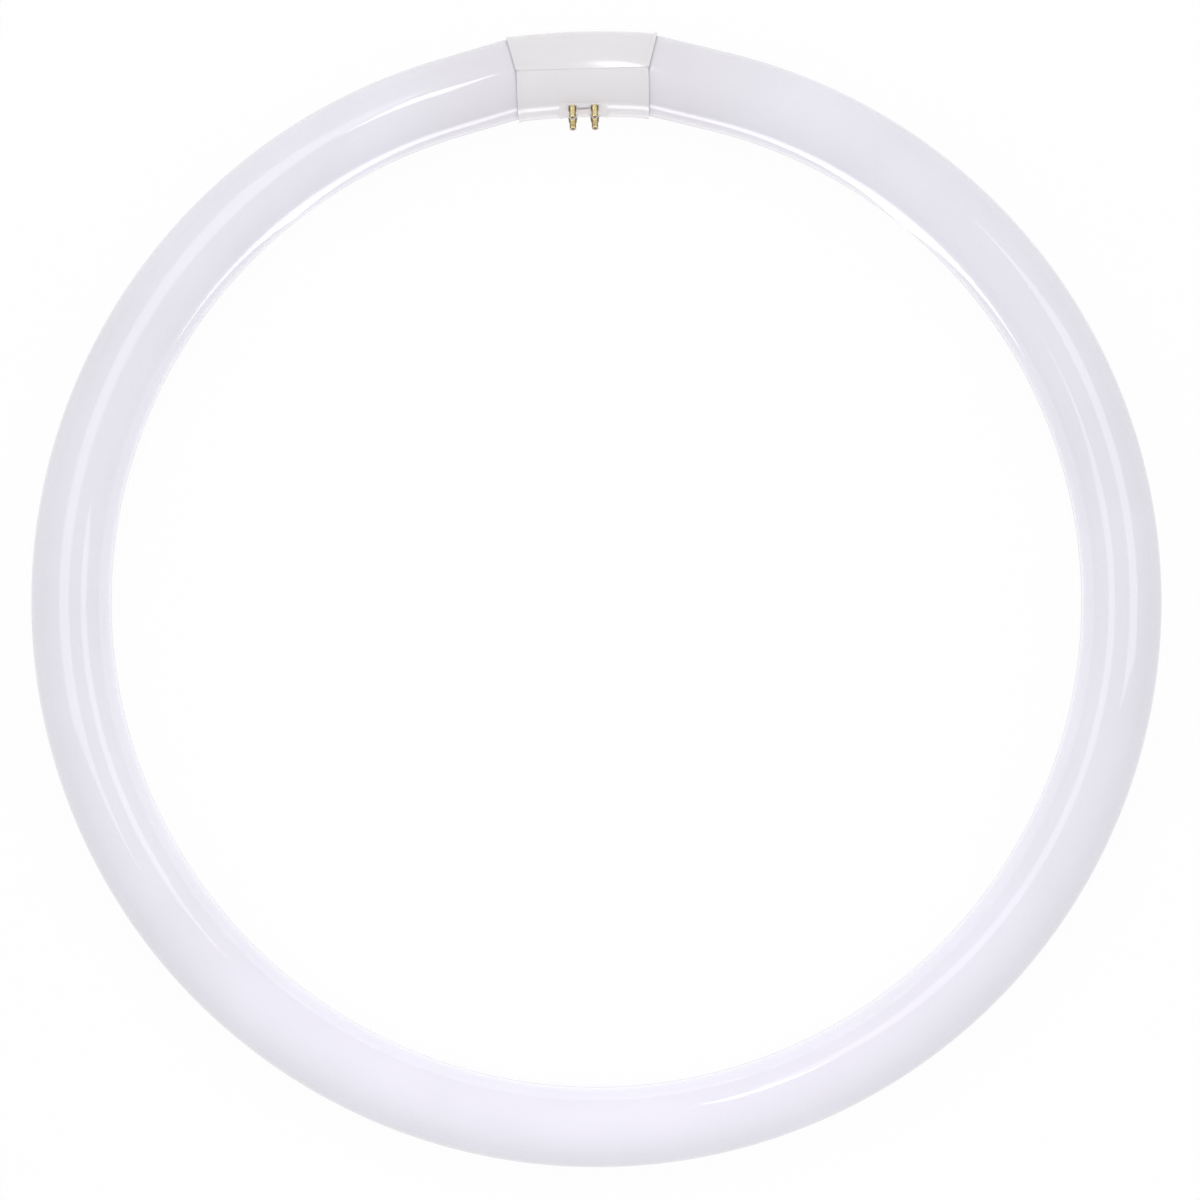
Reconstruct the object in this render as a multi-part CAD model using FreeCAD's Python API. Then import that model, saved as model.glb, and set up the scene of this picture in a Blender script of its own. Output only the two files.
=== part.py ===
import FreeCAD, Part
import math
import os

# A ring-shaped fluorescent lamp of the 16 inch size, in millimetres.
# A coated glass tube is bent into a circle. Its two straight ends meet in a moulded base of two halves,
# and the inner half carries a pad with four contact pins that lean up out of the ring's plane.
# The ring lies flat: its axis is Z, the floor is z = 0 and the base is at +Y.

# Glass tube
RING_DIAMETER = 406.4  # across the bent ring, outside to outside
TUBE_DIAMETER = 28.6
STRAIGHT_ANGLE = 15.0  # degrees each side of the base, where the bend stops and the ends run straight
END_GAP = 40.0  # between the two glass ends, along the base
SHOULDER_RADIUS = 5.0  # rounding of a glass end
STEM_MOUTH_DIAMETER = 15.0  # funnel sunk into each glass end
STEM_FLOOR_DIAMETER = 10.4
STEM_DEPTH = 9.0
EXHAUST_DIAMETER = 4.6  # sealed pumping tube in the middle of each stem
EXHAUST_REACH = 5.0  # how far its tip stands out of the glass end

# Base shells
SHELL_CLEARANCE = 0.2  # round the glass
SHELL_WALL = 0.7
SHELL_BEND_RADIUS = 250.0  # the base has a slight bend of its own, along its middle line
SEAM_DROP = 0.7  # the halves part on an upright plane, this far inside the middle line's crown
INNER_SHELL_LENGTH = 46.8
OUTER_SHELL_LENGTH = 47.2  # at the seam
OUTER_SHELL_RAKE = 14.5  # degrees by which the outer half's ends lean out
RIM_WIDTH = 1.2  # raised rim round each end of the base
RIM_HEIGHT = 0.25
LAP_HEIGHT = 1.2  # tongue of the inner half behind the wall of the outer half
LAP_CLEARANCE = 0.06
SEAM_CHAMFER = 0.22
STOP_CLEARANCE = 0.3  # between a glass end and the rib that stops it
STOP_THICKNESS = 1.2
STOP_DIAMETER = 17.6  # opening in a stop rib

# Pin pad
PIN_TILT = 30.0  # degrees by which the pins lean up out of the ring's plane
PIN_DROP = 2.7  # of the middle of the four pins under the line that the face is nearest to the shell on
PAD_HEIGHT = 0.25  # of the pad's face over the shell, on that line
PAD_LENGTH = 17.1  # along the base
PAD_TOP = 2.3  # upper edge of the pad over that line
PAD_EAR = 6.0  # lower edge under that line, at the pad's two ends
PAD_ARCH = 3.7  # the same in the middle, where the lower edge is arched
PAD_ARCH_LENGTH = 4.4  # straight middle of the arch
BOSS_DIAMETER = 3.5  # round boss under each lower pin
PAD_ROUNDING = 0.2
SLOT_LENGTH = 4.6  # blind slot between the two upper pins
SLOT_WIDTH = 1.2
SLOT_DEPTH = 0.8
SLOT_DROP = 0.7  # under the two upper pins

# Contact pins
PIN_SPACING_ALONG = 7.92
PIN_SPACING_ACROSS = 6.35
PIN_DIAMETER = 2.35
PIN_LENGTH = 4.7  # outside the pad, without the solder
PIN_BORE = 1.0
PIN_TIP_ROUNDING = 0.25
PIN_SHANK_DIAMETER = 2.4
PIN_SHANK_CLEARANCE = 0.02
COLLAR_DIAMETER = 2.9
COLLAR_HEIGHT = 1.6
COLLAR_CHAMFER = 0.2
RIVET_DIAMETER = 3.6  # head that holds the pin from inside the base
RIVET_HEIGHT = 0.5
RIVET_SEAT = 0.25  # thickness of the flat seat under a rivet head, over the shell's round bore

# Lead wires and solder
LEAD_DIAMETER = 0.6
LEAD_OFFSET = 3.6  # from the middle of the stem
LEAD_CLEAR = 2.0  # straight run past the glass end
LEAD_BEND_RADIUS = 6.0
LEAD_RUN_IN = 6.5  # straight aim at the pin, before its rivet head
SOLDER_DEPTH = 0.6
SOLDER_DOME = 0.5

V = FreeCAD.Vector
UP = V(0, 0, 1)
SIDES = (-1, 1)

TUBE_R = TUBE_DIAMETER / 2
BEND_R = RING_DIAMETER / 2 - TUBE_R
STRAIGHT = math.radians(STRAIGHT_ANGLE)
SHELL_BORE_R = TUBE_R + SHELL_CLEARANCE
SHELL_R = SHELL_BORE_R + SHELL_WALL
RING_Z = SHELL_R + RIM_HEIGHT  # the base's lower rim touches the floor
END_RUN = (BEND_R * math.sin(STRAIGHT) - END_GAP / 2) / math.cos(STRAIGHT)


def chord(radius, out):
    """Half of a circle's chord at a distance from its middle."""
    return math.sqrt(radius**2 - out**2)


def crown_at(x, side):
    """Y of the base's middle line at X = 0 if its bore would touch the straight glass at this X,
    on the ring's outer side (1) or inner side (-1)."""
    glass_y = (BEND_R + side * TUBE_R) / math.cos(STRAIGHT) - x * math.tan(STRAIGHT)
    return glass_y + SHELL_BEND_RADIUS - chord(SHELL_BEND_RADIUS + side * SHELL_BORE_R, x)


# The base is as far from the glass inside, at its own ends, as outside, where the straight glass ends.
SHOULDER_X = END_GAP / 2 + SHOULDER_RADIUS * math.cos(STRAIGHT) + TUBE_R * math.sin(STRAIGHT)
CROWN_Y = (crown_at(INNER_SHELL_LENGTH / 2, -1) + crown_at(SHOULDER_X, 1)) / 2
SHELL_AXIS = V(0, CROWN_Y - SHELL_BEND_RADIUS, 0)
SEAM_Y = CROWN_Y - SEAM_DROP
LAP_R = SHELL_BORE_R + SHELL_WALL / 2

# The pad's own frame: X along the base, Y up across the pad, Z out of its face along the pins.
PAD_FRAME = FreeCAD.Placement(V(0, CROWN_Y, RING_Z), FreeCAD.Rotation(V(1, 0, 0), 90 - PIN_TILT))
PAD_FACE = SHELL_R + PAD_HEIGHT
PAD_BACK = chord(SHELL_BORE_R, PIN_DROP + (PIN_SPACING_ACROSS + RIVET_DIAMETER) / 2) - RIVET_SEAT
PIN_TIP = PAD_FACE + PIN_LENGTH
LEAD_TIP = PIN_TIP + SOLDER_DOME / 2


def end_frame(side):
    """Frame of a straight glass end: origin where the bend stops, Z towards the glass end."""
    start = V(side * BEND_R * math.sin(STRAIGHT), BEND_R * math.cos(STRAIGHT), RING_Z)
    along = V(-side * math.cos(STRAIGHT), math.sin(STRAIGHT), 0)
    return FreeCAD.Placement(start, FreeCAD.Rotation(UP, along))


def outline(*edges):
    """Face inside a closed run of edges."""
    return Part.Face(Part.Wire(edges))


def line(a, b):
    return Part.LineSegment(a, b).toShape()


def arc(a, middle, b):
    return Part.Arc(a, middle, b).toShape()


def turned(points, frame):
    """Solid turned about the frame's Z from (radius, height) points. A point of four is an arc's end
    with the arc's middle in front of it."""
    edges = []
    last = None
    for point in points:
        here = V(point[-2], 0, point[-1])
        if last is not None and len(point) == 4:
            edges.append(arc(last, V(point[0], 0, point[1]), here))
        elif last is not None:
            edges.append(line(last, here))
        last = here
    edges.append(line(last, edges[0].Vertexes[0].Point))
    solid = outline(*edges).revolve(V(0, 0, 0), UP, 360)
    solid.Placement = frame
    return solid


def quarter(centre_r, centre_z, radius):
    """Middle of a convex quarter round that faces outwards and upwards."""
    reach = radius * math.sqrt(0.5)
    return centre_r + reach, centre_z + reach


def glass_end(side):
    """Straight end of the tube, closed by a stem: a funnel with the sealed exhaust tip in its middle."""
    neck = TUBE_R - SHOULDER_RADIUS
    exhaust = EXHAUST_DIAMETER / 2
    tip = END_RUN + EXHAUST_REACH
    return turned(
        [
            (0, 0),
            (TUBE_R, 0),
            (TUBE_R, END_RUN - SHOULDER_RADIUS),
            (*quarter(neck, END_RUN - SHOULDER_RADIUS, SHOULDER_RADIUS), neck, END_RUN),
            (STEM_MOUTH_DIAMETER / 2, END_RUN),
            (STEM_FLOOR_DIAMETER / 2, END_RUN - STEM_DEPTH),
            (exhaust, END_RUN - STEM_DEPTH),
            (exhaust, tip - exhaust),
            (*quarter(0, tip - exhaust, exhaust), 0, tip),
        ],
        end_frame(side),
    )


def glass_tube():
    start = end_frame(1)
    ring = Part.Face(Part.Wire(Part.makeCircle(TUBE_R, start.Base, start.Rotation.multVec(UP))))
    bend = ring.revolve(V(0, 0, 0), UP, 2 * STRAIGHT_ANGLE - 360)
    return bend.fuse([glass_end(side) for side in SIDES]).removeSplitter()


def bent_rod(radius):
    """Rod of the base's bend, swept both ways past the base's ends."""
    half = math.degrees(math.asin(OUTER_SHELL_LENGTH / SHELL_BEND_RADIUS))
    section = outline(Part.makeCircle(radius, V(0, CROWN_Y, RING_Z), V(1, 0, 0)))
    section.rotate(SHELL_AXIS, UP, -half)
    return section.revolve(SHELL_AXIS, UP, 2 * half)


def bent_tube(outer, inner):
    return bent_rod(outer).cut(bent_rod(inner))


def beyond_seam(side, reach=0):
    """Block on one side of the parting plane, moved out by a reach."""
    size = 4 * SHELL_R
    start = SEAM_Y + reach + min(0, side) * size
    return Part.makeBox(2 * size, size, size, V(-size, start, RING_Z - size / 2))


def seam_groove(up):
    """Shallow V along the seam, above (1) or below (-1) the base, open through the rims."""
    reach = SEAM_CHAMFER + 2 * RIM_HEIGHT
    low = V(-OUTER_SHELL_LENGTH, SEAM_Y, RING_Z + up * (SHELL_R - SEAM_CHAMFER))
    corners = [low + V(0, reach, up * reach), low, low + V(0, -reach, up * reach)]
    section = Part.Face(Part.makePolygon(corners + corners[:1]))
    return section.extrude(V(2 * OUTER_SHELL_LENGTH, 0, 0))


def between_ends(length, rake):
    """Block between two upright end planes, a length apart at the seam and leaning out by the rake."""
    reach = 2 * SHELL_R
    lean = reach * math.tan(math.radians(rake))
    corners = [
        V(length / 2 + lean, SEAM_Y + reach, 0),
        V(-length / 2 - lean, SEAM_Y + reach, 0),
        V(-length / 2 + lean, SEAM_Y - reach, 0),
        V(length / 2 - lean, SEAM_Y - reach, 0),
    ]
    plan = Part.Face(Part.makePolygon(corners + corners[:1]))
    return plan.extrude(UP * 2 * RING_Z)


def stop_rib(side, core):
    """Rib that stops a glass end, cut to the inside of a shell half."""
    low = END_RUN + STOP_CLEARANCE
    high = low + STOP_THICKNESS
    ring = [(STOP_DIAMETER / 2, low), (2 * TUBE_R, low), (2 * TUBE_R, high), (STOP_DIAMETER / 2, high)]
    return turned(ring, end_frame(side)).common(core)


def shell_half(side, length, rake, wall):
    """One moulded half: its wall, raised rims at its ends and ribs that stop the glass."""
    own = beyond_seam(side)
    whole = between_ends(length, rake)
    rims = bent_tube(SHELL_R + RIM_HEIGHT, LAP_R).common(own).common(whole)
    rims = rims.cut(between_ends(length - 2 * RIM_WIDTH, rake))
    ledge = max(0, side) * (LAP_HEIGHT + LAP_CLEARANCE)
    core = bent_rod(SHELL_BORE_R + SHELL_WALL / 4).common(beyond_seam(side, ledge))
    ribs = [stop_rib(end, core) for end in SIDES]
    return wall.common(whole).fuse([rims] + ribs).cut([seam_groove(up) for up in SIDES])


def base_outer_shell():
    """Outer half, whose wall is recessed along the seam for the other half's tongue."""
    recess = bent_rod(LAP_R).common(beyond_seam(-1, LAP_HEIGHT + LAP_CLEARANCE))
    wall = bent_tube(SHELL_R, SHELL_BORE_R).common(beyond_seam(1)).cut(recess)
    return shell_half(1, OUTER_SHELL_LENGTH, OUTER_SHELL_RAKE, wall).removeSplitter()


def pin_places():
    return [
        (along * PIN_SPACING_ALONG / 2, up * PIN_SPACING_ACROSS / 2 - PIN_DROP)
        for up in (1, -1)
        for along in SIDES
    ]


def pin_frame(place):
    return PAD_FRAME.multiply(FreeCAD.Placement(V(*place, 0), FreeCAD.Rotation()))


def pad_block():
    """Flat-faced pad with an arched lower edge and a boss under each lower pin, in its own frame."""
    half = [(PAD_LENGTH / 2, PAD_TOP), (PAD_LENGTH / 2, -PAD_EAR), (PAD_ARCH_LENGTH / 2, -PAD_ARCH)]
    plan = half + [(-x, y) for x, y in reversed(half)]
    corners = [V(x, y, PAD_BACK) for x, y in plan]
    depth = PAD_FACE - PAD_BACK
    plate = Part.Face(Part.makePolygon(corners + corners[:1])).extrude(UP * depth)
    lower_pins = pin_places()[2:]
    bosses = [Part.makeCylinder(BOSS_DIAMETER / 2, depth, V(x, y, PAD_BACK)) for x, y in lower_pins]
    block = plate.fuse(bosses).removeSplitter()
    face_edges = [edge for edge in block.Edges if edge.BoundBox.ZMin > PAD_FACE - PAD_ROUNDING]
    return block.makeFillet(PAD_ROUNDING, face_edges)


def pad_slot():
    """Round-ended blind slot in the pad's face."""
    radius = SLOT_WIDTH / 2
    run = SLOT_LENGTH / 2 - radius
    low = PAD_FACE - SLOT_DEPTH
    up = PIN_SPACING_ACROSS / 2 - PIN_DROP - SLOT_DROP
    ends = [Part.makeCylinder(radius, 2 * SLOT_DEPTH, V(side * run, up, low)) for side in SIDES]
    middle = Part.makeBox(2 * run, SLOT_WIDTH, 2 * SLOT_DEPTH, V(-run, up - radius, low))
    return middle.fuse(ends).removeSplitter()


def base_inner_shell():
    """Inner half, with a tongue along the seam and the pad for the pins."""
    tongue = bent_tube(LAP_R - LAP_CLEARANCE, SHELL_BORE_R).common(beyond_seam(-1, LAP_HEIGHT))
    wall = bent_tube(SHELL_R, SHELL_BORE_R).common(beyond_seam(-1)).fuse(tongue)
    shell = shell_half(-1, INNER_SHELL_LENGTH, 0, wall)
    pad = pad_block()
    slot = pad_slot()
    pad.Placement = PAD_FRAME
    slot.Placement = PAD_FRAME
    hole_r = PIN_SHANK_DIAMETER / 2 + PIN_SHANK_CLEARANCE
    holes = []
    for place in pin_places():
        hole = Part.makeCylinder(hole_r, PIN_TIP)
        hole.Placement = pin_frame(place)
        holes.append(hole)
    return shell.fuse(pad).cut(holes + [slot]).removeSplitter()


def contact_pin(place):
    """Hollow pin with a collar on the pad's face and a rivet head behind it."""
    bore = PIN_BORE / 2
    pin = PIN_DIAMETER / 2
    collar = COLLAR_DIAMETER / 2
    shank = PIN_SHANK_DIAMETER / 2
    collar_top = PAD_FACE + COLLAR_HEIGHT
    tip = pin - PIN_TIP_ROUNDING
    return turned(
        [
            (bore, PAD_BACK - RIVET_HEIGHT),
            (RIVET_DIAMETER / 2, PAD_BACK - RIVET_HEIGHT),
            (RIVET_DIAMETER / 2, PAD_BACK),
            (shank, PAD_BACK),
            (shank, PAD_FACE),
            (collar, PAD_FACE),
            (collar, collar_top - COLLAR_CHAMFER),
            (collar - COLLAR_CHAMFER, collar_top),
            (pin, collar_top),
            (pin, PIN_TIP - PIN_TIP_ROUNDING),
            (*quarter(tip, PIN_TIP - PIN_TIP_ROUNDING, PIN_TIP_ROUNDING), tip, PIN_TIP),
            (bore, PIN_TIP),
        ],
        pin_frame(place),
    )


def solder_bead(place):
    """Solder that fills the pin's mouth round the lead and domes over its tip."""
    lead = LEAD_DIAMETER / 2
    bore = PIN_BORE / 2
    rim = PIN_DIAMETER / 2 - PIN_TIP_ROUNDING
    low = PIN_TIP - SOLDER_DEPTH
    ball = (rim**2 + SOLDER_DOME**2) / (2 * SOLDER_DOME)
    half_turn = math.asin(rim / ball) / 2
    dome_middle = (ball * math.sin(half_turn), PIN_TIP + SOLDER_DOME - ball * (1 - math.cos(half_turn)))
    return turned(
        [
            (lead, low),
            (bore, low),
            (bore, PIN_TIP),
            (rim, PIN_TIP),
            (*dome_middle, 0, PIN_TIP + SOLDER_DOME),
            (0, LEAD_TIP),
            (lead, LEAD_TIP),
        ],
        pin_frame(place),
    )


def rounded_path(points, radius):
    """Wire of straight runs joined by tangent arcs."""
    edges = []
    last = points[0]
    for before, corner, after in zip(points, points[1:], points[2:]):
        arriving = (corner - before).normalize()
        leaving = (after - corner).normalize()
        turn = arriving.getAngle(leaving)
        cut = radius * math.tan(turn / 2)
        inward = (leaving - arriving).normalize()
        middle = corner + inward * (radius / math.cos(turn / 2) - radius)
        edges.append(line(last, corner - arriving * cut))
        last = corner + leaving * cut
        edges.append(arc(corner - arriving * cut, middle, last))
    edges.append(line(last, points[-1]))
    return Part.Wire(edges)


def lead_wire(place):
    """Lead from the floor of the nearer stem, out past the glass end and down the pin to its tip."""
    along, up = place
    stem = end_frame(math.copysign(1, along))
    offset = V(0, 0, math.copysign(LEAD_OFFSET, up))
    pin = pin_frame(place)
    path = rounded_path(
        [
            stem.multVec(V(0, 0, END_RUN - STEM_DEPTH)) + offset,
            stem.multVec(V(0, 0, END_RUN + LEAD_CLEAR)) + offset,
            pin.multVec(V(0, 0, PAD_BACK - RIVET_HEIGHT - LEAD_RUN_IN)),
            pin.multVec(V(0, 0, LEAD_TIP)),
        ],
        LEAD_BEND_RADIUS,
    )
    start = path.Vertexes[0].Point
    section = Part.Wire(Part.makeCircle(LEAD_DIAMETER / 2, start, stem.Rotation.multVec(UP)))
    return path.makePipeShell([section], True, True)


nodes = {
    "glass_tube": glass_tube(),
    "base_outer_shell": base_outer_shell(),
    "base_inner_shell": base_inner_shell(),
    "solder_tips": Part.makeCompound([solder_bead(place) for place in pin_places()]),
}
for number, place in enumerate(pin_places(), 1):
    nodes[f"contact_pin_{number}"] = contact_pin(place)
    nodes[f"lead_wire_{number}"] = lead_wire(place)

os.makedirs("parts", exist_ok=True)
for name, shape in nodes.items():
    shape.exportStep(f"parts/{name}.step")
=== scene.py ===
import math
from typing import NamedTuple

import bmesh
import bpy
from bpy.props import FloatProperty, FloatVectorProperty, IntProperty, PointerProperty
from mathutils import Matrix, Vector


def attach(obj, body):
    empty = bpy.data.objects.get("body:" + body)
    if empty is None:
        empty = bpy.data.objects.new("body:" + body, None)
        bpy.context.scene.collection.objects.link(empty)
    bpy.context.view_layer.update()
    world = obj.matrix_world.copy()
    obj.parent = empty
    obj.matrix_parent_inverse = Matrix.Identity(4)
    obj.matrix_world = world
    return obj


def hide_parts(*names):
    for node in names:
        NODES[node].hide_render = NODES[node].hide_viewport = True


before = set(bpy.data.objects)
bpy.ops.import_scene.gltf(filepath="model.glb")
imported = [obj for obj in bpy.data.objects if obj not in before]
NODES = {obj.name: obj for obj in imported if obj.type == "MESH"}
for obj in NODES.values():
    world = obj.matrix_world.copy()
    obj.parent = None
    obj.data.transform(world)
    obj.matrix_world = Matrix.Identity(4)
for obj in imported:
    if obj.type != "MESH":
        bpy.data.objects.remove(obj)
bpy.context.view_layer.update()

bl_info = {
    "name": "Ring Lamp",
    "version": (1, 0, 0),
    "blender": (4, 5, 0),
    "location": "3D View > Sidebar > Ring Lamp",
    "description": "Bends the coated glass ring, finishes its base and pins, and sets the studio",
    "category": "Object",
}

MM = 0.001
BASE_HALVES = ("base_outer_shell", "base_inner_shell")
PINS = tuple(f"contact_pin_{number}" for number in range(1, 5))
LEADS = tuple(f"lead_wire_{number}" for number in range(1, 5))

WELD = 0.001 * MM  # points nearer than this are one
CLOSE = 0.01 * MM  # counts as touching when points are picked
ROUND_STEPS = 5  # faces across a quarter round
SMOOTH_BELOW = math.radians(40)  # edges sharper than this stay sharp
WAVE_BAND = math.tau / 20  # length of one band of Blender's wave texture at scale 1
FLOOR_SIZE = 40  # metres, so that its edge is never seen


def linear(hex_colour):
    """Linear RGB of an sRGB hex value."""
    parts = [int(hex_colour[i : i + 2], 16) / 255 for i in (1, 3, 5)]
    return tuple(p / 12.92 if p <= 0.04045 else ((p + 0.055) / 1.055) ** 2.4 for p in parts)


def length(name, description, default):
    return FloatProperty(name=name, description=description, default=default, min=0, unit="LENGTH")


def angle(name, description, degrees):
    default = math.radians(degrees)
    return FloatProperty(name=name, description=description, default=default, subtype="ANGLE")


def colour(name, description, hex_colour):
    return FloatVectorProperty(
        name=name, description=description, default=linear(hex_colour), min=0, max=1, subtype="COLOR"
    )


class RingLampSizes(bpy.types.PropertyGroup):
    ring: length("Ring", "Across the bent glass, outside to outside", 406.4 * MM)
    tube: length("Tube", "Diameter of the glass tube", 28.6 * MM)
    height: length("Height", "Height of the ring's middle line over the floor", 15.45 * MM)
    straight: angle("Straight", "Each side of the base, where the bend stops", 15.0)
    end_gap: length("End gap", "Between the two glass ends, inside the base", 40.0 * MM)
    shoulder: length("Shoulder", "Rounding of a glass end", 5.0 * MM)
    shoulder_guard: length("Shoulder guard", "Row of faces before the shoulder, for its shading", 0.5 * MM)
    stem_mouth: length("Stem mouth", "Mouth of the funnel in a glass end", 15.0 * MM)
    stem_floor: length("Stem floor", "Floor of the funnel", 10.4 * MM)
    stem_depth: length("Stem depth", "Depth of the funnel", 9.0 * MM)
    exhaust: length("Exhaust", "Diameter of the sealed pumping tube", 4.6 * MM)
    exhaust_reach: length("Exhaust reach", "How far its tip stands out of the glass end", 5.0 * MM)
    crown: length("Crown", "From the ring's axis to the middle line of the base", 189.96 * MM)
    pad_face: length("Pad face", "From the base's middle line to the face of the pin pad", 15.45 * MM)
    pad_length: length("Pad length", "Pin pad, along the base", 17.1 * MM)
    pad_edge: length("Pad edge", "How far under the pad's face its matt finish starts", 0.12 * MM)
    pin_lean: angle("Pin lean", "Of the pins and their pad, up out of the ring's plane", 30.0)
    pin_spacing: length("Pin spacing", "Between two pins, along the base", 7.92 * MM)
    # Painted reflection: each pin darkens towards its flanks, standing in for the dark reflections there.
    flank_shade_start: length("Bright flank", "From a pin's middle plane to where tarnish starts", 0.75 * MM)
    flank_shade_full: length("Dull flank", "From a pin's middle plane to full tarnish", 1.35 * MM)
    flank_shade_ragged: length("Ragged flank", "Unevenness of the tarnish's edge", 0.5 * MM)
    # Painted shade: the coat greys towards the base, standing in for the shade the base casts on the glass
    # beside it.
    base_shade_full: length("Full grey", "From the base's middle to where the grey starts to fade", 25.0 * MM)
    base_shade_none: length("No grey", "From the base's middle to where the coat is white", 85.0 * MM)
    sides: IntProperty(name="Sides", description="Faces round the tube", default=96, min=8)
    bend_steps: IntProperty(name="Bend steps", description="Faces along the bend", default=336, min=8)


class RingLampColours(bpy.types.PropertyGroup):
    phosphor: colour("Phosphor", "Powder coat behind the glass", "#E9E7EF")
    phosphor_thin: colour("Thin phosphor", "Where the powder coat ran thinner", "#E4E2E9")
    # Painted shade: a greyer phosphor that stands in for the shade on the glass beside the base.
    phosphor_base_shade: colour("Phosphor end", "By the cathodes, where the coat has greyed", "#DEDCE1")
    base: colour("Base", "Moulded base", "#E2DFE1")
    brass: colour("Brass", "Contact pins", "#F0E2AC")
    # Painted reflection: this dark brown stands in for the dark reflections along each pin's flanks.
    brass_flank_shade: colour("Dull brass", "Tarnish on the pins", "#6E5828")
    solder: colour("Solder", "Beads on the pins' tips", "#8C867E")
    wire: colour("Wire", "Tinned lead wires", "#B4ADA2")
    floor: colour("Floor", "Studio floor", "#FAFAFA")


class RingLampStudio(bpy.types.PropertyGroup):
    camera_height: length("Camera height", "Of the camera over the ring's middle line", 1100.0 * MM)
    camera_x: FloatProperty(name="Camera X", description="Camera off the ring's axis", default=1.3 * MM)
    camera_y: FloatProperty(name="Camera Y", description="Camera off the ring's axis", default=0.7 * MM)
    camera_roll: angle("Camera roll", "Turn of the picture about the line of sight", -1.5)
    lens: FloatProperty(name="Lens", description="Focal length in millimetres", default=91.7, min=1)
    ambient: FloatProperty(name="Ambient", description="Light from all round", default=1.08, min=0)
    lit_share: FloatProperty(name="Lit floor", description="Share of plain white in it", default=0.95, min=0)
    sensor: FloatProperty(name="Sensor", description="Width of the film in millimetres", default=36, min=1)


class SoftLight(NamedTuple):
    """A soft light. Its place and aim count from the middle of the ring, and all sizes are in metres."""

    place: tuple
    aim: tuple
    width: float
    length: float
    brightness: float  # 1 is the white of the surround
    tint: str = "#FBFAFF"
    spread: float = 180  # degrees
    rays: str = "both"  # the rays that meet it: those of matt light, gloss or both
    shape: str = "RECTANGLE"


# The strips and the two low lights show as lines along the glass, the keys as streaks on and by the base.
SOFT_LIGHTS = {
    "strip_left": SoftLight(
        (-0.335, 0.25, 0.68), (-0.335, 0.25, 0), 0.34, 0.7, 1.9, tint="#F3F0FF", rays="gloss"
    ),
    "strip_right": SoftLight(
        (0.563, 0.15, 0.757), (0.3, 0.15, 0), 0.34, 0.5, 2.1, tint="#F3F0FF", rays="gloss"
    ),
    "key_left": SoftLight((-0.104, 0.33, 0.63), (-0.05, 0.19, 0), 0.067, 0.13, 6.0, tint="#FFFFFF"),
    "key_base": SoftLight((0.022, 0.384, 0.63), (0, 0.19, 0), 0.029, 0.25, 9.0, tint="#FFFFFF", spread=30),
    "front_fill": SoftLight((0, -0.13, 0.16), (0, -0.19, 0), 0.24, 0.1, 1.0, tint="#EEEAFF", rays="matt"),
    "back_fill": SoftLight((0, 0.05, 0.25), (0, 0.19, 0), 0.3, 0.15, 0.3, tint="#F6F4FF", rays="matt"),
    "back_box": SoftLight((0, 0.75, 0.75), (0, 0.1, 0), 0.8, 0.5, 0.8, tint="#FAF9FF", rays="matt"),
    "under_light": SoftLight((0.008, 0.095, -0.014), (0.008, 0.095, 1), 0.21, 0.07, 3.6, rays="gloss"),
    "under_glow": SoftLight((0, 0, -0.0141), (0, 0, 1), 0.34, 0.34, 0.6, rays="gloss", shape="ELLIPSE"),
}


def add_node(tree, kind, inputs=None, **settings):
    """One node: settings are its own properties, and inputs give its sockets a value or a link."""
    made = tree.nodes.new(kind)
    for name, value in settings.items():
        setattr(made, name, value)
    for socket, value in (inputs or {}).items():
        if isinstance(value, bpy.types.NodeSocket):
            tree.links.new(value, made.inputs[socket])
        else:
            made.inputs[socket].default_value = value
    return made


def new_material(name):
    made = bpy.data.materials.new(name)
    made.use_nodes = True
    made.node_tree.nodes.clear()
    return made


def finish_material(made, shader):
    add_node(made.node_tree, "ShaderNodeOutputMaterial", {"Surface": shader.outputs[0]})
    return made


def opaque(rgb):
    return (*rgb, 1.0)


def per_metre(millimetres):
    """Scale of a pattern on Object coordinates from the size of its features."""
    return 1 / (millimetres * MM)


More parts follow.
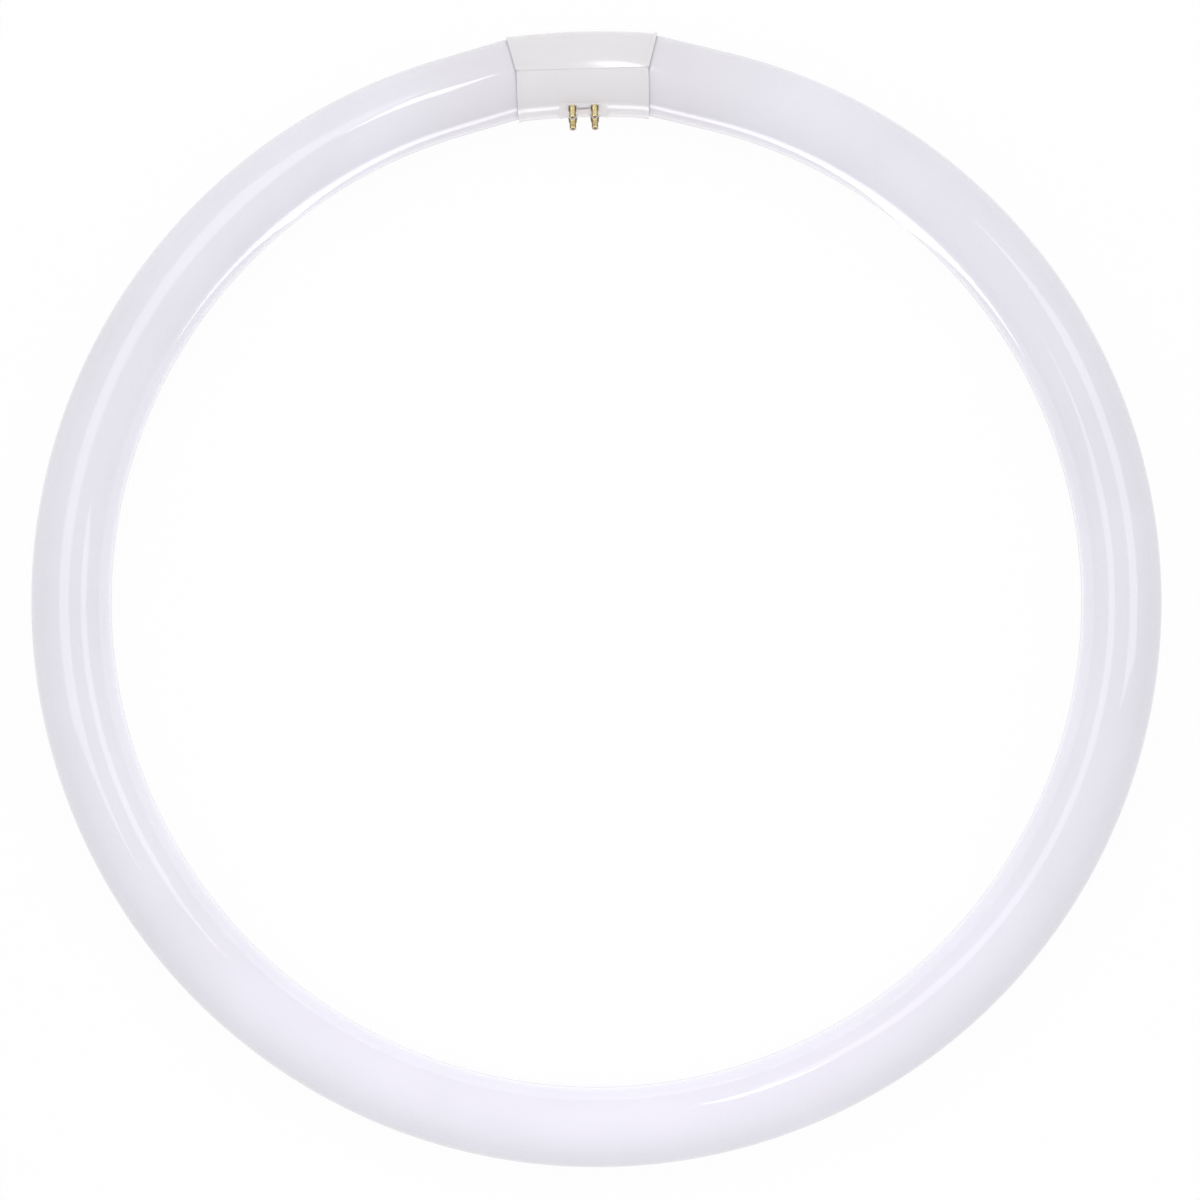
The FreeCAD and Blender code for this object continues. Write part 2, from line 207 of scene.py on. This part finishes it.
def coated_glass(colours, sizes):
    """Soda-lime glass, drawn, bent and coated inside with white phosphor powder.

    The eye sees the matt powder, slightly lavender and a little uneven where the slurry drained, a
    painted shade that greys the glass on each side of the base where the base shades it, and the wet gloss
    of the clear glass over it all.
    """
    made = new_material("soda_lime_glass_phosphor_coated")
    tree = made.node_tree
    place = add_node(tree, "ShaderNodeTexCoord").outputs["Object"]
    drained = add_node(
        tree,
        "ShaderNodeTexNoise",
        {"Vector": place, "Scale": per_metre(38), "Detail": 3.0, "Roughness": 0.5},
    )
    powder = add_node(
        tree,
        "ShaderNodeTexNoise",
        {"Vector": place, "Scale": per_metre(1.1), "Detail": 2.0, "Roughness": 0.6},
    )
    coat = add_node(
        tree,
        "ShaderNodeMath",
        {0: powder.outputs["Fac"], 1: 0.35, 2: drained.outputs["Fac"]},
        operation="MULTIPLY_ADD",
    )
    share = add_node(
        tree,
        "ShaderNodeMapRange",
        {"Value": coat.outputs[0], "From Min": 0.4, "From Max": 0.95},
    )
    tint = add_node(
        tree,
        "ShaderNodeMix",
        {
            "Factor": share.outputs[0],
            6: opaque(colours.phosphor_thin),
            7: opaque(colours.phosphor),
        },
        data_type="RGBA",
    )
    to_base = add_node(
        tree,
        "ShaderNodeVectorMath",
        {0: place, 1: (0, sizes.ring / 2 - sizes.tube / 2, sizes.height)},
        operation="DISTANCE",
    )
    # Painted shade: near the base the coat is mixed towards a grey, for the shade the base casts there.
    painted_base_shade = add_node(
        tree,
        "ShaderNodeMapRange",
        {
            "Value": to_base.outputs["Value"],
            "From Min": sizes.base_shade_full,
            "From Max": sizes.base_shade_none,
            "To Min": 1.0,
            "To Max": 0.0,
        },
        interpolation_type="SMOOTHSTEP",
    )
    coat_tint_and_shade = add_node(
        tree,
        "ShaderNodeMix",
        {"Factor": painted_base_shade.outputs[0], 6: tint.outputs[2], 7: opaque(colours.phosphor_base_shade)},
        data_type="RGBA",
    )
    # Drawn tube is never quite straight-walled: long soft ripples bend the reflections a little.
    ripple = add_node(
        tree,
        "ShaderNodeTexNoise",
        {"Vector": place, "Scale": per_metre(26), "Detail": 1.0, "Roughness": 0.4},
    )
    glass_face = add_node(
        tree,
        "ShaderNodeBump",
        {"Height": ripple.outputs["Fac"], "Strength": 0.35, "Distance": 0.25 * MM},
    )
    shader = add_node(
        tree,
        "ShaderNodeBsdfPrincipled",
        {
            "Base Color": coat_tint_and_shade.outputs[2],
            "Roughness": 0.9,
            "Specular IOR Level": 0.0,
            "Coat Weight": 1.0,
            "Coat Roughness": 0.05,
            "Coat IOR": 1.52,
            "Coat Normal": glass_face.outputs[0],
        },
    )
    return finish_material(made, shader)


def moulded_base(colours, sizes):
    """Polybutylene terephthalate, injection moulded and filled white.

    The eye sees an even, faintly pink white, glossy from a polished mould, with the mould's slight orange
    peel. The face of the pin pad was left matt in the mould, so no light shows in it.
    """
    made = new_material("pbt_injection_moulded_white")
    tree = made.node_tree
    place = add_node(tree, "ShaderNodeTexCoord").outputs["Object"]
    flow = add_node(
        tree,
        "ShaderNodeTexNoise",
        {"Vector": place, "Scale": per_metre(14), "Detail": 2.0, "Roughness": 0.5},
    )
    shade = add_node(
        tree,
        "ShaderNodeMapRange",
        {"Value": flow.outputs["Fac"], "From Min": 0.3, "From Max": 0.7, "To Min": 0.985, "To Max": 1.0},
    )
    tint = add_node(
        tree,
        "ShaderNodeMix",
        {"Factor": 1.0, 6: opaque(colours.base), 7: shade.outputs[0]},
        data_type="RGBA",
        blend_type="MULTIPLY",
    )
    peel = add_node(
        tree,
        "ShaderNodeTexNoise",
        {"Vector": place, "Scale": per_metre(0.9), "Detail": 2.0, "Roughness": 0.5},
    )
    skin = add_node(
        tree,
        "ShaderNodeBump",
        {"Height": peel.outputs["Fac"], "Strength": 0.25, "Distance": 0.01 * MM},
    )
    gloss = add_node(
        tree,
        "ShaderNodeMapRange",
        {"Value": flow.outputs["Fac"], "From Min": 0.3, "From Max": 0.7, "To Min": 0.06, "To Max": 0.09},
    )
    lean = Vector((0, -math.cos(sizes.pin_lean), math.sin(sizes.pin_lean)))
    pad_start = lean.dot(Vector((0, sizes.crown, sizes.height))) + sizes.pad_face - sizes.pad_edge
    reach = add_node(tree, "ShaderNodeVectorMath", {0: place, 1: lean}, operation="DOT_PRODUCT")
    raised = add_node(
        tree, "ShaderNodeMath", {0: reach.outputs["Value"], 1: pad_start}, operation="GREATER_THAN"
    )
    side = add_node(tree, "ShaderNodeSeparateXYZ", {"Vector": place}).outputs["X"]
    middle = add_node(
        tree, "ShaderNodeMath", {0: side, 1: 0.0, 2: sizes.pad_length / 2}, operation="COMPARE"
    )
    pad = add_node(
        tree, "ShaderNodeMath", {0: raised.outputs[0], 1: middle.outputs[0]}, operation="MULTIPLY"
    )
    finish = add_node(
        tree, "ShaderNodeMix", {"Factor": pad.outputs[0], 2: gloss.outputs[0], 3: 0.5}, data_type="FLOAT"
    )
    shader = add_node(
        tree,
        "ShaderNodeBsdfPrincipled",
        {
            "Base Color": tint.outputs[2],
            "Roughness": finish.outputs[0],
            "IOR": 1.54,
            "Normal": skin.outputs[0],
        },
    )
    return finish_material(made, shader)


def turned_brass(colours, sizes):
    """Brass, turned and left bare.

    The eye sees a yellow metal, bright along the top and bottom of each pin, with a painted dark reflection
    down its flanks and a ragged edge between; the flanks are also rougher. Fine tool lines run round it. The
    pins lean, so the lines follow a turned coordinate. Their real pitch is near 0.05 mm, too fine to show,
    so they are drawn at 0.3 mm.
    """
    made = new_material("brass_turned")
    tree = made.node_tree
    place = add_node(tree, "ShaderNodeTexCoord").outputs["Object"]
    lean = sizes.pin_lean - math.pi / 2
    along_pin = add_node(tree, "ShaderNodeMapping", {"Vector": place, "Rotation": (lean, 0, 0)})
    lines = add_node(
        tree,
        "ShaderNodeTexWave",
        {
            "Vector": along_pin.outputs[0],
            "Scale": per_metre(0.3) * WAVE_BAND,
            "Distortion": 1.5,
            "Detail": 2.0,
        },
        bands_direction="Z",
    )
    flank_shade_noise = add_node(
        tree,
        "ShaderNodeTexNoise",
        {"Vector": place, "Scale": per_metre(2.2), "Detail": 3.0, "Roughness": 0.6},
    )
    side = add_node(tree, "ShaderNodeSeparateXYZ", {"Vector": place}).outputs["X"]
    column = add_node(tree, "ShaderNodeMath", {0: side}, operation="ABSOLUTE")
    off_axis = add_node(
        tree, "ShaderNodeMath", {0: column.outputs[0], 1: sizes.pin_spacing / 2}, operation="SUBTRACT"
    )
    flank = add_node(tree, "ShaderNodeMath", {0: off_axis.outputs[0]}, operation="ABSOLUTE")
    # Painted reflection: the flanks of each pin fade to the dark brass, with a ragged edge, for the dark
    # reflections there.
    ragged = add_node(
        tree,
        "ShaderNodeMath",
        {0: flank_shade_noise.outputs["Fac"], 1: sizes.flank_shade_ragged, 2: flank.outputs[0]},
        operation="MULTIPLY_ADD",
    )
    flank_shade = add_node(
        tree,
        "ShaderNodeMapRange",
        {"Value": ragged.outputs[0], "From Min": sizes.flank_shade_start, "From Max": sizes.flank_shade_full},
    )
    tint = add_node(
        tree,
        "ShaderNodeMix",
        {"Factor": flank_shade.outputs[0], 6: opaque(colours.brass), 7: opaque(colours.brass_flank_shade)},
        data_type="RGBA",
    )
    rough = add_node(
        tree,
        "ShaderNodeMapRange",
        {"Value": flank_shade.outputs[0], "To Min": 0.12, "To Max": 0.24},
    )
    tool_marks = add_node(
        tree,
        "ShaderNodeBump",
        {"Height": lines.outputs["Fac"], "Strength": 0.25, "Distance": 0.01 * MM},
    )
    shader = add_node(
        tree,
        "ShaderNodeBsdfPrincipled",
        {
            "Base Color": tint.outputs[2],
            "Metallic": 1.0,
            "Roughness": rough.outputs[0],
            "Normal": tool_marks.outputs[0],
        },
    )
    return finish_material(made, shader)


def soft_metal(name, rgb, grain_mm, roughness, height_mm):
    """A grey metal whose face is slightly uneven, with patches that are duller than others."""
    made = new_material(name)
    tree = made.node_tree
    place = add_node(tree, "ShaderNodeTexCoord").outputs["Object"]
    grain = add_node(
        tree,
        "ShaderNodeTexNoise",
        {"Vector": place, "Scale": per_metre(grain_mm), "Detail": 4.0, "Roughness": 0.6},
    )
    shade = add_node(
        tree,
        "ShaderNodeMapRange",
        {"Value": grain.outputs["Fac"], "From Min": 0.3, "From Max": 0.7, "To Min": 0.78, "To Max": 1.0},
    )
    tint = add_node(
        tree,
        "ShaderNodeMix",
        {"Factor": 1.0, 6: opaque(rgb), 7: shade.outputs[0]},
        data_type="RGBA",
        blend_type="MULTIPLY",
    )
    rough = add_node(
        tree,
        "ShaderNodeMapRange",
        {"Value": grain.outputs["Fac"], "To Min": roughness - 0.08, "To Max": roughness + 0.08},
    )
    face = add_node(
        tree,
        "ShaderNodeBump",
        {"Height": grain.outputs["Fac"], "Strength": 0.4, "Distance": height_mm * MM},
    )
    shader = add_node(
        tree,
        "ShaderNodeBsdfPrincipled",
        {
            "Base Color": tint.outputs[2],
            "Metallic": 1.0,
            "Roughness": rough.outputs[0],
            "Normal": face.outputs[0],
        },
    )
    return finish_material(made, shader)


def dress(names, material):
    """Give CAD nodes a material."""
    for name in names:
        slots = NODES[name].data.materials
        slots.clear()
        slots.append(material)


def select_verts(piece, wanted):
    """In edit mode, select the points that a test picks, and nothing else."""
    mesh = bmesh.from_edit_mesh(piece.data)
    for vert in mesh.verts:
        vert.select = wanted(vert.co)
    mesh.select_flush_mode()
    bmesh.update_edit_mesh(piece.data)


def quarter_round(radius, run, bend):
    """Rows of a convex quarter round, from its side to its end."""
    turns = [math.pi / 2 * step / ROUND_STEPS for step in range(1, ROUND_STEPS + 1)]
    return [(radius + bend * math.cos(turn), run + bend * math.sin(turn)) for turn in turns]


def draw_end(start, along, first_radius, rows):
    """Extrude the selected ring of edges along a straight end, by (radius, run) rows, and close it."""
    last_radius = first_radius
    last_run = 0
    for radius, run in rows:
        bpy.ops.mesh.extrude_region_move(TRANSFORM_OT_translate={"value": along * (run - last_run)})
        ratio = max(radius, CLOSE) / last_radius
        bpy.ops.transform.resize(value=(ratio, ratio, ratio), center_override=start + along * run)
        last_radius *= ratio
        last_run = run
    bpy.ops.mesh.merge(type="CENTER")


class RINGLAMP_OT_glass_ring(bpy.types.Operator):
    """Bend the coated glass tube into its ring and close its ends with their stems"""

    bl_idname = "ring_lamp.glass_ring"
    bl_label = "Glass Ring"

    def execute(self, context):
        sizes = context.scene.ring_lamp_sizes
        tube = sizes.tube / 2
        bend = sizes.ring / 2 - tube
        middle = Vector((0, 0, sizes.height))
        sine, cosine = math.sin(sizes.straight), math.cos(sizes.straight)
        starts = {side: Vector((side * bend * sine, bend * cosine, sizes.height)) for side in (-1, 1)}
        aims = {side: Vector((-side * cosine, sine, 0)) for side in (-1, 1)}

        bpy.ops.object.select_all(action="DESELECT")
        bpy.ops.mesh.primitive_circle_add(
            vertices=sizes.sides,
            radius=tube,
            location=starts[1],
            rotation=(math.pi / 2, 0, math.pi / 2 - sizes.straight),
        )
        ring = context.object
        ring.name = "glass_ring"
        bpy.ops.object.transform_apply()
        bpy.ops.object.mode_set(mode="EDIT")
        bpy.ops.mesh.spin(
            steps=sizes.bend_steps,
            angle=2 * (math.pi - sizes.straight),
            center=middle,
            axis=(0, 0, 1),
        )

        run = (bend * sine - sizes.end_gap / 2) / cosine
        exhaust = sizes.exhaust / 2
        tip = run + sizes.exhaust_reach
        # The first row keeps the shading of the straight glass free of the shoulder's.
        rows = [
            (tube, run - sizes.shoulder - sizes.shoulder_guard),
            (tube, run - sizes.shoulder),
            *quarter_round(tube - sizes.shoulder, run - sizes.shoulder, sizes.shoulder),
            (sizes.stem_mouth / 2, run),
            (sizes.stem_floor / 2, run - sizes.stem_depth),
            (exhaust, run - sizes.stem_depth),
            (exhaust, tip - exhaust),
            *quarter_round(0, tip - exhaust, exhaust),
        ]
        for side in (-1, 1):
            start, along = starts[side], aims[side]
            select_verts(
                ring,
                lambda co: (co - start).length < tube + CLOSE and abs((co - start).dot(along)) < CLOSE,
            )
            draw_end(start, along, tube, rows)

        bpy.ops.mesh.select_all(action="SELECT")
        bpy.ops.mesh.remove_doubles(threshold=WELD)
        bpy.ops.mesh.normals_make_consistent(inside=False)
        bpy.ops.object.mode_set(mode="OBJECT")
        bpy.ops.object.shade_smooth_by_angle(angle=SMOOTH_BELOW)
        ring.data.materials.append(coated_glass(context.scene.ring_lamp_colours, sizes))
        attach(ring, "root")
        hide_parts("glass_tube")
        return {"FINISHED"}


class RINGLAMP_OT_base(bpy.types.Operator):
    """Finish the two moulded halves of the base"""

    bl_idname = "ring_lamp.base"
    bl_label = "Base"

    def execute(self, context):
        scene = context.scene
        dress(BASE_HALVES, moulded_base(scene.ring_lamp_colours, scene.ring_lamp_sizes))
        return {"FINISHED"}


class RINGLAMP_OT_pins(bpy.types.Operator):
    """Finish the contact pins, their solder and the lead wires"""

    bl_idname = "ring_lamp.pins"
    bl_label = "Pins"

    def execute(self, context):
        colours = context.scene.ring_lamp_colours
        dress(PINS, turned_brass(colours, context.scene.ring_lamp_sizes))
        # Solder sets with a grey satin face, lumpy where it cooled.
        dress(("solder_tips",), soft_metal("tin_solder_set", colours.solder, 0.7, 0.36, 0.06))
        # Drawn wire that was dipped in tin has a fine even grain.
        dress(LEADS, soft_metal("copper_wire_tinned", colours.wire, 0.25, 0.3, 0.01))
        return {"FINISHED"}


def seen_directly(tree):
    """Socket that is 1 for what is seen, also in a reflection or through glass, and 0 for other light."""
    path = add_node(tree, "ShaderNodeLightPath")
    seen = path.outputs["Is Camera Ray"]
    for ray in ("Is Glossy Ray", "Is Transmission Ray"):
        either = add_node(tree, "ShaderNodeMath", {0: seen, 1: path.outputs[ray]}, operation="MAXIMUM")
        seen = either.outputs[0]
    return seen


def studio_floor(colours, lit_share):
    """Matt white paper. A share of it is plain white wherever it is seen, so its shadows stay faint."""
    made = new_material("matt_paper_white")
    tree = made.node_tree
    paper = add_node(tree, "ShaderNodeBsdfDiffuse", {"Color": opaque(colours.floor), "Roughness": 0.5})
    white = add_node(tree, "ShaderNodeEmission", {"Strength": 1.0})
    share = add_node(tree, "ShaderNodeMath", {0: seen_directly(tree), 1: lit_share}, operation="MULTIPLY")
    mixed = add_node(
        tree,
        "ShaderNodeMixShader",
        {0: share.outputs[0], 1: paper.outputs[0], 2: white.outputs[0]},
    )
    return finish_material(made, mixed)


def add_soft_light(name, height):
    """Soft light that the camera doesn't see."""
    soft = SOFT_LIGHTS[name]
    back = (Vector(soft.place) - Vector(soft.aim)).normalized()
    across = Vector((0, 1, 0)).cross(back).normalized()
    turn = Matrix((across, back.cross(across), back)).transposed().to_euler()
    place = Vector(soft.place) + Vector((0, 0, height))
    bpy.ops.object.light_add(type="AREA", location=place, rotation=turn)
    light = bpy.context.object
    light.name = name
    light.visible_camera = False
    light.visible_diffuse = soft.rays != "gloss"
    light.visible_glossy = soft.rays != "matt"
    light.data.shape = soft.shape
    light.data.size = soft.width
    light.data.size_y = soft.length
    light.data.color = linear(soft.tint)
    light.data.spread = math.radians(soft.spread)
    area = soft.width * soft.length
    if soft.shape == "ELLIPSE":
        area *= math.pi / 4
    # A narrow spread gathers the same power, so the power comes down to keep the brightness.
    half = math.radians(soft.spread) / 2
    gathered = math.tan(half) / (math.tan(half) - half)
    light.data.energy = soft.brightness * math.pi * area / gathered


class RINGLAMP_OT_studio(bpy.types.Operator):
    """Set the floor, the soft lights and the camera"""

    bl_idname = "ring_lamp.studio"
    bl_label = "Studio"

    def execute(self, context):
        scene = context.scene
        studio = scene.ring_lamp_studio
        scene.view_settings.view_transform = "Standard"

        bpy.ops.mesh.primitive_plane_add(size=FLOOR_SIZE)
        floor = context.object
        floor.name = "studio_floor"
        floor.data.materials.append(studio_floor(scene.ring_lamp_colours, studio.lit_share))

        scene.world = bpy.data.worlds.new("studio_surround")
        scene.world.use_nodes = True
        tree = scene.world.node_tree
        tree.nodes.clear()
        strength = add_node(
            tree,
            "ShaderNodeMapRange",
            {"Value": seen_directly(tree), "To Min": studio.ambient, "To Max": 1.0},
        )
        surround = add_node(tree, "ShaderNodeBackground", {"Strength": strength.outputs[0]})
        add_node(tree, "ShaderNodeOutputWorld", {"Surface": surround.outputs[0]})

        height = scene.ring_lamp_sizes.height
        for name in SOFT_LIGHTS:
            add_soft_light(name, height)

        place = (studio.camera_x, studio.camera_y, height + studio.camera_height)
        bpy.ops.object.camera_add(location=place, rotation=(0, 0, studio.camera_roll))
        camera = context.object
        camera.data.lens = studio.lens
        camera.data.sensor_width = studio.sensor
        scene.camera = camera
        return {"FINISHED"}


class RINGLAMP_PT_sidebar(bpy.types.Panel):
    """Sizes, colours and steps of the ring lamp"""

    bl_idname = "RINGLAMP_PT_sidebar"
    bl_label = "Ring Lamp"
    bl_space_type = "VIEW_3D"
    bl_region_type = "UI"
    bl_category = "Ring Lamp"

    def draw(self, context):
        for group_name in GROUPS:
            group = getattr(context.scene, group_name)
            box = self.layout.box()
            for name in group.__annotations__:
                box.prop(group, name)
        for step in STEPS:
            self.layout.operator(step.bl_idname)


GROUPS = {
    "ring_lamp_sizes": RingLampSizes,
    "ring_lamp_colours": RingLampColours,
    "ring_lamp_studio": RingLampStudio,
}
STEPS = (RINGLAMP_OT_glass_ring, RINGLAMP_OT_base, RINGLAMP_OT_pins, RINGLAMP_OT_studio)
CLASSES = (*GROUPS.values(), *STEPS, RINGLAMP_PT_sidebar)


def register():
    for cls in CLASSES:
        bpy.utils.register_class(cls)
    for name, group in GROUPS.items():
        setattr(bpy.types.Scene, name, PointerProperty(type=group))


def unregister():
    for name in GROUPS:
        delattr(bpy.types.Scene, name)
    for cls in reversed(CLASSES):
        bpy.utils.unregister_class(cls)


def main():
    register()
    bpy.ops.ring_lamp.glass_ring()
    bpy.ops.ring_lamp.base()
    bpy.ops.ring_lamp.pins()
    bpy.ops.ring_lamp.studio()


if __name__ == "__main__":
    main()
